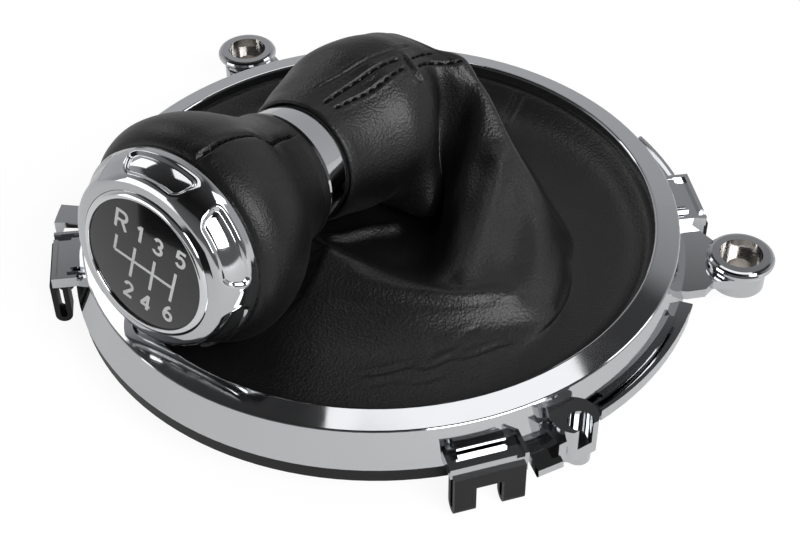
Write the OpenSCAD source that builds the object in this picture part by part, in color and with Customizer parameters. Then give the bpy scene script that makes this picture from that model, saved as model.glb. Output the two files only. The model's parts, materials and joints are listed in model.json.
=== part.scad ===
// Gear shift knob with its lift collar, sewn leather gaiter and round console bezel.
// The knob lies over to one side on its slack gaiter, as it does before it is fitted.
// The origin is the centre of the bezel in the plane of its seat, with +Z up out of the console.

/* [Bezel] */
// Diameter of the crease between the top band and the skirt
bezel_d = 154; // [140:0.5:170]
// Width of the top band, seen from above
band_w = 6.6; // [5:0.1:8]
// Height of the crease above the seat
crease_h = 14.3; // [13:0.1:18]
// Rise of the band from the crease to its inner lip
band_rise = 1.2; // [0.6:0.1:2]
// How far the skirt flares out below the crease
skirt_flare = 2.8; // [1.5:0.1:4]
// Height of the skirt's foot above the seat
skirt_foot_h = 4.6; // [3.6:0.1:6]
// Wall of the bezel moulding
bezel_wall = 2.2; // [1.8:0.1:2.6]
// Number of pegs that stake the gaiter frame to the bezel
stakes = 8; // [4:1:12]
// Diameter of a peg
stake_d = 2.4; // [1.8:0.1:2.8]

/* [Screw lugs] */
// How far each screw stands out from the foot of the skirt
lug_out = 13; // [11.2:0.1:18.2]
// Bearing of the right lug
lug_right_az = -8.4; // [-11:0.1:-6]
// Bearing of the rear lug
lug_rear_az = 116.1; // [112:0.1:120]
// Diameter of the lug's rolled rim
lug_rim_d = 17.4; // [15:0.1:19]
// Diameter of the barrel under the rim
lug_barrel_d = 13.8; // [13.2:0.1:14.4]
// Diameter of the counterbore for the screw's head
lug_head_d = 11; // [9.6:0.1:11.6]
// Height of the rolled rim above the seat
lug_h = 10; // [9:0.1:12]
// Thickness of the plate that carries the lug
lug_plate_t = 2.6; // [2:0.1:3.2]
// Bore of the metal bush for the screw
bush_bore_d = 6.2; // [4.2:0.1:6.6]
// Wall of the bush
bush_wall = 1.2; // [0.8:0.1:1.4]

/* [Snap clips] */
// Bearings of the four clips
clip_front_az = -73.5; // [-76:0.5:-72]
// Bearing of the left clip
clip_left_az = -173; // [-176:0.5:-168]
// Bearing of the right clip
clip_right_az = 7.5; // [6:0.5:10]
// Bearing of the rear clip
clip_rear_az = 96; // [90:0.5:98]
// Width of a clip round the bezel
clip_w = 17; // [15:0.5:19]
// Width of the window between a clip's legs
clip_gap = 6.6; // [5:0.2:8]
// How far a clip reaches below the seat
clip_drop = 6; // [4:0.2:8]
// Depth of a clip's folded leg, outwards
clip_depth = 4.4; // [3.8:0.1:5]
// Wall of a clip
clip_wall = 1.4; // [1.1:0.1:1.5]
// How far the clips' outer faces stand out from the foot of the skirt
clip_out = 6.2; // [5.7:0.1:8.2]
// Height of the underside of the shelves that carry the clips
shelf_h = 6.4; // [5.8:0.1:7]
// Thickness of those shelves
shelf_t = 1.8; // [1.4:0.1:2.4]

/* [Gaiter frame] */
// Diameter of the clear way through the frame for the lever
throat_d = 138; // [130:0.5:139]
// Wall of the frame
frame_wall = 2; // [1.6:0.1:2.4]

/* [Gaiter] */
// Thickness of the leather
leather_t = 1.2; // [0.9:0.1:1.5]
// Height of the hump of the sleeve above the seat
hump_h = 35.5; // [33:0.5:39]
// Half width of the sleeve at its hump
sleeve_r = 21; // [19:0.5:23]
// Height of the front crest above the seat
crest_h = 20; // [17:0.5:23]

/* [Knob] */
// Length of the knob from the collar's foot to the dial's face
knob_len = 57; // [54:0.5:62]
// Diameter of the cap at its widest
cap_d = 50.2; // [47:0.2:54]
// Diameter of the dial
dial_d = 33; // [30:0.2:35]
// Width of the trim ring round the dial
dial_ring_w = 1.9; // [1.4:0.1:2.4]
// How far the dial lies below the front of its trim ring
dial_sink = 1.4; // [0.8:0.1:2]
// Thickness of the dial
dial_t = 1.6; // [1.2:0.1:2]
// Depth of the cap from the dial to its rear edge
cap_depth = 12.6; // [11:0.2:14]
// Wall of the cap
cap_wall = 1.8; // [1.4:0.1:2.2]
// Number of recesses round the cap's dome
cap_windows = 6; // [4:1:8]
// Depth of those recesses
cap_window_t = 0.8; // [0.4:0.1:1]
// How far the grip at its widest stands out past the cap
grip_over = 2.3; // [1:0.1:4]
// Thickness of the leather on the grip
grip_leather_t = 1.2; // [0.9:0.1:1.3]

/* [Lift collar] */
// Diameter of the collar at its knob end
collar_d = 33; // [32:0.1:34]
// Height of the collar
collar_h = 8.7; // [7.5:0.1:10]
// Taper of the collar from its knob end to its foot
collar_taper = 1; // [0.4:0.1:1.4]
// How far the collar lifts
lift = 6; // [4:0.5:7]
// Running gap between the collar and the grip
collar_gap = 0.3; // [0.2:0.05:0.4]

/* [Lever socket] */
// Bore for the lever
lever_d = 12; // [10:0.1:13]
// Depth of the bore that grips the lever
socket_len = 40; // [34:0.5:48]
// Wall of the liner in the socket
liner_wall = 1.25; // [1:0.05:1.6]
// Wall of the socket tube
socket_wall = 2; // [1.6:0.1:2.2]

/* [Where the knob lies] */
// Bearing towards which the dial faces
knob_az = -125; // [-127:0.5:-123]
// Angle of the dial's face above the horizon
knob_rise = 8.3; // [6:0.1:10]
// Offset of the collar's foot to the left of the bezel's centre
knob_off = -16.2; // [-18:0.2:-14]
// Distance of the collar's foot from the bezel's centre, away from the dial
knob_back = -12.5; // [-12.5:0.2:-11]
// Height of the collar's foot above the seat
knob_h = 31.2; // [31.2:0.1:33]
// Turn of the cap's recesses from straight up
cap_turn = 2; // [0:1:10]

/* [Hidden] */
$fn = 96;
eps = 0.01;

// Bezel sizes
bezel_r = bezel_d / 2;
lip_r = bezel_r - band_w;
lip_h = crease_h + band_rise;
foot_r = bezel_r + skirt_flare;
lug_reach = foot_r + lug_out;
clip_reach = foot_r + clip_out;
band_under = crease_h - bezel_wall;
lip_round = 0.7;

// Gaiter frame sizes
throat_r = throat_d / 2;
hem_slack = 0.1;
hem_top = band_under - hem_slack;
hem_low = hem_top - leather_t - hem_slack;
stake_r = foot_r - bezel_wall - stake_d / 2 - 1.1;
frame_in_r = stake_r - stake_d / 2 - frame_wall - 0.5;
frame_gap = 0.2;
frame_inset = 0.5;

// Lug sizes
lug_edge = 1.3;
bush_r = bush_bore_d / 2 + bush_wall;
bush_flange_t = 1.2;
lug_foot = 0.8;
lug_seat = 4.4;
lug_plate_top = 7;

// Clip sizes, outwards from the bezel's centre
clip_in = clip_reach - clip_depth;
slot_in = clip_in + clip_wall;
slot_out = clip_reach - clip_wall;
bar_low = shelf_h - 4;
tongue_gap = 0.1;

module at_az(a) {
    rotate([0, 0, a - 90]) children();
}

// A round of the bezel's section, from one bearing to another
module sector(a0, a1) {
    rotate([0, 0, a0]) rotate_extrude(angle = a1 - a0) children();
}

function arc(cx, cy, r, a0, a1, n = 6) =
    [for (i = [0 : n]) let (a = a0 + (a1 - a0) * i / n) [cx + r * cos(a), cy + r * sin(a)]];

module bezel_section() {
    flare = atan2(skirt_flare, crease_h - skirt_foot_h);
    polygon(concat(
        [[lip_r, band_under]],
        arc(lip_r + lip_round, lip_h - lip_round, lip_round, 180, 80, 5),
        arc(bezel_r - 0.6, crease_h - 0.6, 0.6, 80, 0, 3),
        [[foot_r - 0.2, skirt_foot_h + 0.6], [foot_r, skirt_foot_h],
         [foot_r - bezel_wall, skirt_foot_h],
         [bezel_r - bezel_wall, band_under]]));
}

module stakes_at(d, h, z) {
    for (i = [0 : stakes - 1])
        rotate([0, 0, (i + 0.5) * 360 / stakes]) translate([stake_r, 0, z]) cylinder(d = d, h = h);
}

module lug_solid(a) {
    at_az(a) translate([0, lug_reach, 0]) {
        translate([0, 0, lug_foot]) cylinder(d = lug_barrel_d, h = lug_h - lug_edge - lug_foot);
        rotate_extrude() polygon(concat(
            [[0, lug_plate_top - 0.6], [lug_rim_d / 2 - lug_edge, lug_plate_top - 0.6]],
            arc(lug_rim_d / 2 - lug_edge, lug_h - lug_edge, lug_edge, -70, 90, 6),
            [[0, lug_h]]));
    }
}

module lug_bore(a) {
    at_az(a) translate([0, lug_reach, 0]) {
        translate([0, 0, lug_seat]) cylinder(d = lug_head_d, h = lug_h);
        cylinder(r = bush_r, h = lug_h);
    }
}

// Flat plate from the skirt out to a lug, with stepped shoulders
module lug_plate(a, side) {
    r0 = foot_r - bezel_wall;
    neck = lug_barrel_d / 2 + 0.4;
    at_az(a) translate([0, 0, lug_plate_top - lug_plate_t]) linear_extrude(lug_plate_t)
        polygon([for (p = [[-12, r0 - 1.5], [13, r0 - 1.5], [13, r0 + 2], [11.5, r0 + 6.5],
                           [neck + 1, r0 + 8.5], [neck, lug_reach], [-neck, lug_reach],
                           [-neck - 0.5, r0 + 8.5], [-13, r0 + 3.4], [-18, r0 + 0.2], [-18, r0 - 3.5]])
                 [side * p[0], p[1]]]);
}

// Shelf with its upstand, grooves, end gusset and the hook that holds a clip
module bracket(a, side = 1) {
    w = clip_w / 2 + 0.8;
    r_out = clip_reach - 0.9;
    at_az(a) mirror([side < 0 ? 1 : 0, 0, 0]) {
        translate([-w, foot_r - bezel_wall, shelf_h]) cube([2 * w, r_out - foot_r + bezel_wall, shelf_t]);
        translate([-w + 3, r_out - 1.1, shelf_h]) cube([2 * w - 3, 1.1, shelf_t + 1.1]);
        translate([-w, foot_r - bezel_wall, shelf_h]) cube([1, r_out - foot_r + bezel_wall, shelf_t + 1.1]);
        translate([-w, foot_r - bezel_wall, shelf_h - 3.4]) cube([0.7, r_out - foot_r + bezel_wall - 0.4, 4]);
        translate([w - 1.2, foot_r - 1, shelf_h]) cube([1.2, r_out - foot_r + 1, shelf_t + 1.1]);
        for (i = [0, 1])
            translate([-w + 4, foot_r - bezel_wall, shelf_h + shelf_t + i * 1.4])
                cube([2 * w - 7, 2.6 - i * 1.1 + bezel_wall - 1, 0.7]);
        translate([-clip_gap / 2 + 0.3, slot_in + tongue_gap, bar_low - 1.8])
            cube([clip_gap - 0.6, slot_out - slot_in - 2 * tongue_gap, shelf_h - bar_low + 1.8 + eps]);
        translate([-clip_gap / 2 + 0.3, slot_in + tongue_gap, bar_low - 1.8]) rotate([90, 0, 90])
            linear_extrude(clip_gap - 0.6)
                polygon([[0, 0], [clip_wall + 0.4, 0.5], [clip_wall + 1.2, 1.7], [0, 1.7]]);
    }
}

// Upright screw tower beside the front clip, with its locating pin
module tower() {
    at_az(-58) translate([0, foot_r + 2.8, 0]) {
        difference() {
            translate([0, 0, 1.6]) cylinder(r = 5.6, h = 10);
            translate([0, 2.2, 5.2]) cylinder(r = 3, h = 10);
            translate([-7, 4.4, 0]) cube([14, 6, 20]);
        }
        translate([-1.5, 0.6, -2.6]) cylinder(r = 3, h = 5);
        translate([3.2, -4, 1.6]) cube([3.4, 7.4, 7]);
    }
}

// Down-turned finger between the front clip and the tower
module finger() {
    at_az(-64) translate([-3, foot_r - bezel_wall, 0]) rotate([90, 0, 90]) linear_extrude(6.5)
        polygon([[0, 3.2], [5.5, 3.2], [9.5, 1.6], [10.2, 2.6], [9.9, 4.2], [6, 5.6], [0, 5.6]]);
}

// Long ledges on the skirt, from the tower round to the right lug
module ledges() {
    sector(-52, -20) translate([foot_r - 1.4, 5.2]) square([4.2, 1.1]);
    sector(-52, -23) translate([foot_r + 1.8, 4.2]) square([1, 3.2]);
    sector(-50, -26) translate([foot_r - 1.4, 7.6]) square([1.9, 0.9]);
    sector(15, 28) translate([foot_r - 1.4, 6.2]) square([4.4, 1.4]);
    sector(15, 28) translate([foot_r + 2.1, 5]) square([0.9, 3.4]);
    sector(172, 177) translate([foot_r - 1.4, 6.2]) square([8.4, 1.8]);
    sector(172, 177) translate([foot_r + 5.6, 3.6]) square([1.4, 4.4]);
}

// Room for the gaiter frame below the skirt
module frame_room() {
    low = 20;
    rotate_extrude() translate([foot_r - bezel_wall - 0.6, -low])
        square([bezel_wall + 0.6 - frame_inset + frame_gap, low + skirt_foot_h]);
}

module bezel_ring() {
    color("silver") difference() {
        union() {
            rotate_extrude() bezel_section();
            lug_plate(lug_right_az, 1);
            lug_plate(lug_rear_az, -1);
            lug_solid(lug_right_az);
            lug_solid(lug_rear_az);
            bracket(clip_front_az);
            bracket(clip_left_az, -1);
            bracket(clip_right_az, -1);
            bracket(clip_rear_az);
            tower();
            finger();
            ledges();
            stakes_at(stake_d, band_under + 1 - 0.3, 0.3);
        }
        lug_bore(lug_right_az);
        lug_bore(lug_rear_az);
        frame_room();
    }
}

// Black frame under the bezel that clamps the gaiter's hem against the band
module gaiter_frame() {
    out_r = foot_r - frame_inset;
    color("#1c1c1e") difference() {
        rotate_extrude() polygon([
            [frame_in_r, 0], [out_r - 0.5, 0], [out_r, 0.5], [out_r, skirt_foot_h - frame_gap],
            [out_r - frame_wall, skirt_foot_h - frame_gap], [out_r - frame_wall, frame_wall],
            [frame_in_r + frame_wall, frame_wall], [frame_in_r + frame_wall, hem_low],
            [throat_r + 1.4, hem_low], [throat_r, hem_low - 1],
            [throat_r, hem_low - frame_wall], [frame_in_r, hem_low - frame_wall]]);
        stakes_at(stake_d + 0.2, 20, -1);
    }
}

// Inverted U clip whose legs fold back up on themselves
module clip(a) {
    bend = clip_depth / 2;
    mid = clip_reach - bend;
    inner = bend - clip_wall;
    color("#202022") at_az(a) difference() {
        translate([-clip_w / 2, 0, 0]) rotate([90, 0, 90]) linear_extrude(clip_w)
            polygon(concat(
                [[clip_reach, shelf_h]],
                [[mid + inner, shelf_h]],
                arc(mid, bend - clip_drop, inner, 0, -180, 8),
                [[mid - inner, shelf_h]],
                [[clip_in, shelf_h]],
                arc(mid, bend - clip_drop, bend, 180, 360, 12)));
        translate([-clip_gap / 2, clip_in - 1, -clip_drop - 1])
            cube([clip_gap, clip_depth + 2, clip_drop + 1 + bar_low]);
    }
}

module clip_front() { clip(clip_front_az); }
module clip_left() { clip(clip_left_az); }
module clip_right() { clip(clip_right_az); }
module clip_rear() { clip(clip_rear_az); }

// Steel compression bushes, one in each lug
module lug_bushes() {
    for (a = [lug_right_az, lug_rear_az])
        color("#b9a98c") at_az(a) translate([0, lug_reach, 0]) difference() {
            union() {
                translate([0, 0, lug_foot]) cylinder(r = bush_r, h = lug_seat - lug_foot);
                translate([0, 0, lug_seat]) cylinder(d = lug_head_d, h = bush_flange_t);
            }
            cylinder(d = bush_bore_d, h = lug_h);
        }
}

// Radii of the pieces on the lever, from the inside out
liner_gap = 0.05;
slide_gap = 0.1;
lever_r = lever_d / 2;
liner_r = lever_r + liner_wall;
tube_in = liner_r + liner_gap;
tube_r = tube_in + socket_wall;
spring_wire = 1;
sleeve_in = tube_r + 2 * slide_gap + spring_wire + 0.5;
sleeve_wall = 1.3;
sleeve_out = sleeve_in + sleeve_wall;
neck_in = sleeve_out + 0.3;
neck_wall = 1.4;
neck_out = neck_in + neck_wall;
tie_t = 0.9;
hem_neck_r = neck_out + 0.1 + tie_t + 0.2 + leather_t;
collar_r = collar_d / 2;

// Heights along the knob, from the collar's foot
tube_foot = -19;
neck_top = -0.8;
neck_low = -11;
neck_web = 2;
grip_r = cap_d / 2 + grip_over;
mouth_r = collar_r + collar_gap;
mouth_h = collar_h + 0.8;
recess_h = collar_h + lift + 1;
cap_low = knob_len - cap_depth;
deck_t = 2;
socket_top = tube_foot + socket_len;
core_top = knob_len - dial_t - 0.1;

// Directions in which the gaiter and the knob are laid out: to the right of the dial,
// away from the dial along the floor, and up
side_dir = [-sin(knob_az), cos(knob_az), 0];
back_dir = [-cos(knob_az), -sin(knob_az), 0];
function place(p) = p[0] * side_dir + p[1] * back_dir + [0, 0, p[2]];

steps = 3;
round_n = 48;

// Rings of the gaiter, from the clamped hem to the neck. A round ring is [radius, height];
// an oval one is [offset right, offset back, height, pitch, half width, half height]; a folded one
// is [offset right, then its front, front corner, side, shoulder and back, each
// [half width, distance back, height]]
hem_r = frame_in_r + frame_wall + 0.4;
in_r = throat_r - leather_t;
neck_pitch = 90 - knob_rise;
hump_top = hump_h + sleeve_r + 1;
gaiter_rings = [
    round_ring(hem_r, hem_top),
    round_ring(throat_r + 1.8, hem_top),
    round_ring(throat_r, hem_top - 0.3),
    round_ring(in_r - 1.2, hem_top - 2.4),
    round_ring(in_r - 5, hem_top - 2.8),
    folded_ring(0, [0, -52, 11.5], [54, -10, 12], [50, 15, 9.5], [33, 37, 9.5], [0, 54, 9.5]),
    folded_ring(-5, [0, -38, crest_h - 3.5], [48, -14, 15], [39, 12, 19.5], [23.5, 34, 24], [0, 42, 30]),
    folded_ring(-9.5, [0, -25, crest_h + 0.5], [38, -18, 16.5], [28.5, 14.5, 27], [22, 29.5, 40], [0, 31, hump_top - 12]),
    folded_ring(-11, [0, -12, 9.5], [28.5, -6, 9.5], [20.2, 20.5, 27], [17, 27, 42.5], [0, 27.5, hump_top - 9]),
    folded_ring(-12, [0, 14, 7.8], [23, 11, 9.5], [15.8, 20.5, 28], [13.2, 23.5, 44.5], [0, 22.5, hump_top - 6.5]),
    folded_ring(-12.5, [0, 10, 10], [21.5, 6, 13], [21.5, 14, 29], [15.2, 16.5, 46], [0, 17, hump_top - 4.5]),
    oval_ring([-14, 7, hump_h - 4, 82, sleeve_r + 0.6, sleeve_r + 0.6]),
    oval_ring([-15.4, 1, hump_h - 5, 82, sleeve_r - 0.8, sleeve_r - 0.8]),
    oval_ring(on_axis(8, 0.5, hem_neck_r + 2.2, hem_neck_r + 2.2)),
    oval_ring(on_axis(4.5, 0.1, hem_neck_r + 0.6, hem_neck_r + 0.6)),
    oval_ring(on_axis(2.2, 0, hem_neck_r, hem_neck_r)),
    oval_ring(on_axis(0.6, 0, hem_neck_r + 0.1, hem_neck_r + 0.1))];
// Ring at which the sleeve is sewn to the rest
sewn_ring = 10;

// Station square to the knob's axis, a distance behind the collar's foot and a rise above the axis
function on_axis(back, rise, a, b) =
    [knob_off, knob_back + back * cos(knob_rise), knob_h - back * sin(knob_rise) + rise,
     neck_pitch, a, b];

// Point on a smooth curve through p1 and p2
function smooth(p0, p1, p2, p3, t) =
    0.5 * (2 * p1 + (p2 - p0) * t + (2 * p0 - 5 * p1 + 4 * p2 - p3) * t * t
           + (3 * p1 - p0 - 3 * p2 + p3) * t * t * t);

// Rings start at the front and go round by the right
function round_ring(r, h) =
    [for (j = [0 : round_n - 1]) let (a = 360 * j / round_n - 90) place([r * cos(a), r * sin(a), h])];

function oval_ring(s) =
    [for (j = [0 : round_n - 1]) let (a = 360 * j / round_n - 90)
        place([s[0] + s[4] * cos(a),
               s[1] + s[5] * sin(a) * cos(s[3]),
               s[2] + s[5] * sin(a) * sin(s[3])])];

function folded_ring(offset, front, corner, side, shoulder, back) =
    let (half = [front, corner, side, shoulder, back],
         loop = [for (i = [0 : 7]) let (p = half[i > 4 ? 8 - i : i])
             [offset + (i > 4 ? -p[0] : p[0]), p[1], p[2]]],
         n = round_n / 8)
    [for (i = [0 : 7], k = [0 : n - 1])
        place(smooth(loop[(i + 7) % 8], loop[i], loop[(i + 1) % 8], loop[(i + 2) % 8], k / n))];

// The knob's foot, the way its dial faces, and the way up across it
knob_foot = place([knob_off, knob_back, knob_h]);
knob_dir = -cos(knob_rise) * back_dir + [0, 0, sin(knob_rise)];
knob_up = sin(knob_rise) * back_dir + [0, 0, cos(knob_rise)];
rest_gap = 2.1;

// Radius of the knob at a distance from its foot
function knob_girth(h) = lookup(h, [[-3, 0], [-1, collar_r], [mouth_h - 3, collar_r + 3], [mouth_h + 4, collar_r + 4],
    [mouth_h + 12, grip_r - 2],
    [mouth_h + 22, grip_r], [cap_low, grip_r - 1.5], [knob_len - 6, cap_d / 2 - 1],
    [knob_len + 2, dial_d / 2 + 2], [knob_len + 4, 0]]);

// Leather under the knob is pressed down clear of it
function pressed(p) = let (
    q = p - knob_foot, h = q * knob_dir, v = q * knob_up, w = q * side_dir,
    r = knob_girth(h), deep = r > 0 && abs(w) < r + rest_gap ? -sqrt(pow(r + rest_gap, 2) - w * w) : 99)
    v < 3 && v > deep ? p + (deep - v) * knob_up : p;

// Smooth surface through the rings, with the leather's outer side first
leather_out = let (s = gaiter_rings, n = len(s) - 1) concat(
    [for (i = [0 : n - 1], k = [0 : steps - 1])
        [for (j = [0 : round_n - 1])
            let (p = smooth(s[max(i - 1, 0)][j], s[i][j], s[i + 1][j], s[min(i + 2, n)][j], k / steps))
            i < sewn_ring ? pressed(p) : p]],
    [s[n]]);

function unit(v) = v / norm(v);

// The same surface moved inwards by the leather's thickness
leather_in = let (g = leather_out, m = len(g), n = round_n)
    [for (i = [0 : m - 1]) [for (j = [0 : n - 1])
        let (du = g[min(i + 1, m - 1)][j] - g[max(i - 1, 0)][j],
             dv = g[i][(j + 1) % n] - g[i][(j + n - 1) % n])
        g[i][j] - leather_t * unit(cross(dv, du))]];

function skin_faces(m, n) = let (o = m * n) concat(
    [for (i = [0 : m - 2], j = [0 : n - 1]) let (k = (j + 1) % n)
        each [[i * n + j, (i + 1) * n + j, i * n + k], [i * n + k, (i + 1) * n + j, (i + 1) * n + k]]],
    [for (i = [0 : m - 2], j = [0 : n - 1]) let (k = (j + 1) % n)
        each [[o + i * n + j, o + i * n + k, o + (i + 1) * n + j],
              [o + i * n + k, o + (i + 1) * n + k, o + (i + 1) * n + j]]],
    [for (j = [0 : n - 1]) let (k = (j + 1) % n)
        each [[j, k, o + j], [k, o + k, o + j],
              [(m - 1) * n + j, o + (m - 1) * n + j, (m - 1) * n + k],
              [(m - 1) * n + k, o + (m - 1) * n + j, o + (m - 1) * n + k]]]);

// Leather between two rows of the surface
module leather(first, last) {
    color("#1a1a1c") polyhedron(
        points = [for (side = [leather_out, leather_in], i = [first : last]) each side[i]],
        faces = skin_faces(last - first + 1, round_n), convexity = 10);
}

module gaiter() { leather(0, sewn_ring * steps); }
module gaiter_sleeve() { leather(sewn_ring * steps, len(leather_out) - 1); }

// The knob is drawn standing on its collar's foot and then laid down
module on_knob() {
    translate(place([knob_off, knob_back, knob_h])) rotate([0, 90 - knob_rise, knob_az])
        rotate([0, 0, 90]) children();
}

// Black plastic ring that the gaiter's neck is tied to, spoked to a hub on the socket tube
module neck_ring() {
    color("#2a2a2c") on_knob() difference() {
        rotate_extrude() polygon([
            [tube_r + 0.02, neck_low], [neck_out, neck_low], [neck_out, neck_top - 1],
            [neck_out + tie_t, neck_top - 1], [neck_out + tie_t - 0.2, neck_top],
            [neck_in, neck_top], [neck_in, neck_low + neck_web], [tube_r + 1.2, neck_low + neck_web],
            [tube_r + 1.2, neck_low + neck_web + 1.4], [tube_r + 0.02, neck_low + neck_web + 1.4]]);
        for (a = [0, 180]) rotate([0, 0, a - 24]) translate([0, 0, neck_low - 1])
            rotate_extrude(angle = 48) translate([sleeve_in - slide_gap, 0])
                square([sleeve_wall + 2 * slide_gap, neck_web + 2]);
    }
}

// Tie round the turned-in neck of the gaiter
module neck_tie() {
    color("#101012") on_knob() translate([0, 0, neck_top - 4.6])
        rotate_extrude() translate([neck_out + 0.1, 0]) square([tie_t, 3]);
}

// Ring that keeps the neck ring on the socket tube
module circlip() {
    color("silver") on_knob() translate([0, 0, neck_low - 1.05]) difference() {
        rotate_extrude() translate([tube_r - 0.5, 0]) square([1.9, 1]);
        translate([tube_r - 3, -1.8, -1]) cube([8, 3.6, 3]);
    }
}

// Socket tube with its top flange and ribs
module knob_core() {
    rib_r = collar_r - 2;
    color("#3a3a3c") on_knob() difference() {
        union() {
            translate([0, 0, tube_foot]) cylinder(r = tube_r, h = core_top - tube_foot);
            translate([0, 0, cap_low]) cylinder(r = cap_d / 2 - cap_wall - 0.5, h = deck_t);
            for (i = [0 : 5]) rotate([0, 0, 60 * i + 30])
                translate([0, -0.8, recess_h + deck_t]) cube([rib_r, 1.6, cap_low - recess_h - deck_t]);
            translate([0, 0, core_top - 1.6]) cylinder(r = dial_d / 2 - 1.4, h = 1.6);
        }
        translate([0, 0, tube_foot - 1]) cylinder(r = tube_in, h = socket_len + 1);
        translate([0, 0, neck_low - 1.1]) rotate_extrude()
            translate([tube_r - 0.55, 0]) square([2, 1.1]);
    }
}

// Liner that grips the lever
module lever_liner() {
    color("#c9c4b4") on_knob() difference() {
        translate([0, 0, tube_foot]) cylinder(r = liner_r, h = socket_len - 0.1);
        translate([0, 0, tube_foot - 1]) cylinder(r = lever_r, h = socket_len - 0.6);
    }
}

// Outline of the grip along the knob: [distance from the collar's foot, radius]
grip_line = [
    [mouth_h, mouth_r + grip_leather_t],
    [mouth_h + 0.9, mouth_r + grip_leather_t + 0.7],
    [mouth_h + 4, mouth_r + grip_leather_t + 1.3],
    [mouth_h + 9, grip_r - 5.8],
    [mouth_h + 14, grip_r - 2.6],
    [mouth_h + 19.5, grip_r - 0.6],
    [mouth_h + 25, grip_r],
    [cap_low - 4, grip_r - 0.5],
    [cap_low - 1.2, grip_r - 1.4],
    [cap_low - 0.1, cap_d / 2 - 0.4]];

function curve(s, n) = let (m = len(s) - 1)
    [for (i = [0 : m - 1], k = [0 : n - 1])
        smooth(s[max(i - 1, 0)], s[i], s[i + 1], s[min(i + 2, m)], k / n), s[m]];

// Padded plastic shell under the leather
module grip_shell() {
    line = [for (p = curve(grip_line, 3)) if (p[0] > recess_h - 2.5) [p[1] - grip_leather_t, p[0]]];
    top = line[len(line) - 1];
    color("#303032") on_knob() difference() {
        rotate_extrude() polygon(concat(
            [[tube_r + 0.05, recess_h], [mouth_r + 0.1, recess_h], [mouth_r + 0.1, line[0][1]]],
            line,
            [[top[0] - 1.6, top[1]], [grip_r - 6, cap_low - 8], [grip_r - 7, recess_h + deck_t + 6],
             [collar_r - 1.5, recess_h + deck_t], [tube_r + 0.05, recess_h + deck_t]]));
    }
}

// Sewn leather cover of the grip
module grip_leather() {
    line = curve(grip_line, 3);
    color("#18181a") on_knob() rotate_extrude() polygon(concat(
        [for (p = line) [p[1], p[0]]],
        [for (i = [len(line) - 1 : -1 : 0])
            [max(line[i][1] - grip_leather_t, mouth_r), line[i][0]]]));
}

// Outline of the cap's dome from the trim ring back to its rear edge
cap_r = cap_d / 2;
ring_r = dial_d / 2 + dial_ring_w;
cap_line = concat(
    [[ring_r + 0.05, knob_len - 0.2]],
    [for (i = [0 : 8]) let (a = 76 - 76 * i / 8)
        [ring_r + 0.6 + (cap_r - ring_r - 0.6) * cos(a), knob_len - 9.4 + 9 * sin(a)]],
    [[cap_r, knob_len - 10.4], [cap_r - 0.3, cap_low]]);

module knob_cap() {
    color("silver") on_knob() difference() {
        rotate_extrude() polygon(concat(
            cap_line,
            [[cap_r - cap_wall - 0.3, cap_low]],
            [for (i = [8 : -1 : 0]) let (a = 76 - 76 * i / 8)
                [ring_r + (cap_r - ring_r - cap_wall) * cos(a), knob_len - 9.4 - cap_wall + 9 * sin(a)]],
            [[dial_d / 2 - 1, knob_len - dial_t - 1.7], [dial_d / 2 - 1, knob_len - dial_t - 0.1],
             [ring_r + 0.05, knob_len - dial_t - 0.1]]));
        for (i = [0 : cap_windows - 1]) rotate([0, 0, 90 - cap_turn + i * 360 / cap_windows - 21])
            rotate_extrude(angle = 42) polygon(concat(
                [for (i = [1 : 6]) let (a = 76 - 76 * i / 8)
                    [ring_r + 0.6 + (cap_r - ring_r - 0.6 + 1) * cos(a), knob_len - 9.4 + 10 * sin(a)]],
                [for (i = [6 : -1 : 1]) let (a = 76 - 76 * i / 8)
                    [ring_r + 0.6 + (cap_r - ring_r - 0.6 - cap_window_t) * cos(a),
                     knob_len - 9.4 + (9 - cap_window_t) * sin(a)]]));
    }
}

// Flat chrome ring that holds the dial in the cap
module dial_ring() {
    color("#c8c8cc") on_knob() rotate_extrude() polygon([
        [dial_d / 2, knob_len - dial_t], [dial_d / 2, knob_len], [dial_d / 2 + 0.3, knob_len + dial_sink - 0.3],
        [dial_d / 2 + 0.7, knob_len + dial_sink], [ring_r - 0.5, knob_len + dial_sink - 0.3],
        [ring_r, knob_len + dial_sink - 0.9], [ring_r, knob_len - dial_t]]);
}

module dial_disc() {
    color("#101114") on_knob() translate([0, 0, knob_len - dial_t])
        cylinder(r = dial_d / 2 - 0.02, h = dial_t);
}

// Sleeve that carries the collar and reaches down to the reverse lock
module lift_sleeve() {
    color("#2c2c2e") on_knob() difference() {
        rotate_extrude() polygon([
            [sleeve_in, neck_low - 3], [sleeve_out, neck_low - 3],
            [sleeve_out, collar_h - 3.2], [tube_r + slide_gap, collar_h - 3.2],
            [tube_r + slide_gap, collar_h - 4.6], [sleeve_in, collar_h - 4.6]]);
        for (a = [90, 270]) rotate([0, 0, a - 72]) translate([0, 0, neck_low - 4])
            rotate_extrude(angle = 144) square([sleeve_out + 2, 4 + neck_web + 3]);
    }
}

// Chrome lift collar
module lift_collar() {
    web_h = collar_h - 4.6;
    color("silver") on_knob() rotate_extrude() polygon([
        [collar_r - collar_taper - 1.2, 0.4], [collar_r - collar_taper - 0.9, 0],
        [collar_r - collar_taper - 0.3, 0], [collar_r - collar_taper, 0.4],
        [collar_r, collar_h - 0.5], [collar_r - 0.5, collar_h], [collar_r - 1, collar_h],
        [collar_r - 1.2, web_h + 3], [sleeve_out + 0.02, web_h + 3],
        [sleeve_out + 0.02, web_h - 1.2], [collar_r - collar_taper - 0.9, web_h - 1.2]]);
}

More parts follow.
